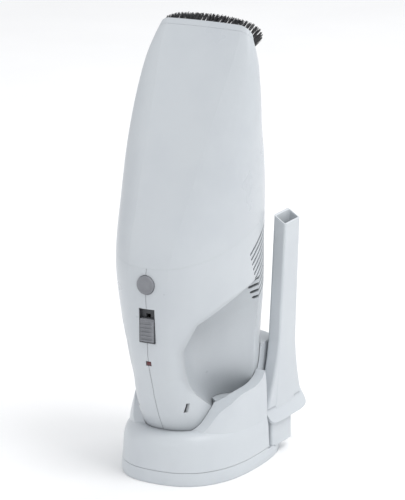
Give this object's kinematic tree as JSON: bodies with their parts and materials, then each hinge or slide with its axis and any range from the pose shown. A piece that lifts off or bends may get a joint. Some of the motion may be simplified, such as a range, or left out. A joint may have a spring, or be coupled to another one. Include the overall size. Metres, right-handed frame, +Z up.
{
  "type": "handheld vacuum",
  "caption": "Cordless handheld vacuum with a slanted nozzle brush, standing upright in its charging stand beside a crevice tool.",
  "frame": {"origin": "middle of the stand's flat underside", "axes": "+Z up; -Y the side with the switch and button; X = 0 the vacuum's plane of symmetry, with the crevice tool on +X"},
  "size_m": [0.1188, 0.1953, 0.3955],
  "materials": {
    "abs_white": "semi-gloss moulded plastic",
    "grey_control": "satin",
    "dark_control": "satin",
    "black_part": "matt",
    "led_red": "clear red moulding",
    "bristle": "nylon filament",
    "rubber": "matt rubber",
    "steel": "plated",
    "cell_wrap": "shrink sleeve",
    "board": "circuit board",
    "brass": "plated contact",
    "paper": "pleated filter paper"
  },
  "bodies": {
    "stand": {"stand_shell": "abs_white", "stand_base_cover": "abs_white", "stand_feet": "rubber", "stand_screws": "steel", "tool_post": "abs_white", "contact_block": "black_part", "contact_springs": "steel", "dc_inlet": "black_part"},
    "pins": {"contact_pins": "brass"},
    "vacuum": {"housing_left": "abs_white", "housing_right": "abs_white", "housing_screws": "steel", "intake_grille": "dark_control", "bowl_seal": "rubber", "motor_can": "steel", "motor_mount": "black_part", "fan_shroud": "black_part", "battery_cells": "cell_wrap", "battery_holder": "dark_control", "charge_contacts": "brass", "switch_bezel": "dark_control", "switch_block": "black_part", "led_lens": "led_red", "led_board": "board", "release_spring": "steel", "spring_seat": "dark_control"},
    "rotor": {"motor_shaft": "steel", "fan_impeller": "dark_control"},
    "slider": {"power_slider": "grey_control"},
    "button": {"release_button": "grey_control"},
    "latch": {"bowl_latch": "dark_control"},
    "filter": {"filter_frame": "dark_control", "filter_pleats": "paper", "filter_screen": "dark_control"},
    "bowl": {"dust_bowl": "abs_white", "inlet_duct": "abs_white"},
    "flap": {"inlet_flap": "rubber"},
    "brush": {"brush_frame": "abs_white", "brush_bristles": "bristle"},
    "crevice": {"crevice_tool": "abs_white"}
  },
  "joints": [
    {"name": "vacuum_lift", "type": "slide", "parent": "stand", "child": "vacuum", "axis": [0, 0, 1], "range_m": [0, 0.16]},
    {"name": "tool_lift", "type": "slide", "parent": "stand", "child": "crevice", "axis": [0.0384, 0, 0.9993], "range_m": [0, 0.1]},
    {"name": "contact_press", "type": "slide", "parent": "stand", "child": "pins", "axis": [0, 0, 1], "range_m": [-0.0015, 0], "stiffness_N_per_m": 400, "deforming": ["contact_springs"]},
    {"name": "rotor_spin", "type": "hinge", "parent": "vacuum", "child": "rotor", "pos_m": [0, 0.014, 0.14], "axis": [0, 0, 1], "continuous": true},
    {"name": "power_slide", "type": "slide", "parent": "vacuum", "child": "slider", "axis": [0, 0, 1], "range_m": [0, 0.008]},
    {"name": "release_press", "type": "slide", "parent": "vacuum", "child": "button", "axis": [0, 1, 0], "range_m": [0, 0.003], "stiffness_N_per_m": 500},
    {"name": "latch_move", "type": "slide", "parent": "vacuum", "child": "latch", "axis": [0, 1, 0], "range_m": [0, 0.003], "deforming": ["release_spring"]},
    {"name": "bowl_slide", "type": "slide", "parent": "vacuum", "child": "bowl", "axis": [0, -0.2267, 0.974], "range_m": [0, 0.09]},
    {"name": "filter_pull", "type": "slide", "parent": "vacuum", "child": "filter", "axis": [0, -0.2267, 0.974], "range_m": [0, 0.015]},
    {"name": "flap_swing", "type": "hinge", "parent": "bowl", "child": "flap", "pos_m": [0, 0.0054, 0.3324], "axis": [1, 0, 0], "range_deg": [0, 40], "stiffness_Nm_per_rad": 0.01},
    {"name": "brush_pull", "type": "slide", "parent": "bowl", "child": "brush", "axis": [0, 0.866, 0.5], "range_m": [0, 0.015]}
  ],
  "couplings": [
    {"joint": "latch_move", "follows": "release_press", "ratio": 1}
  ]
}
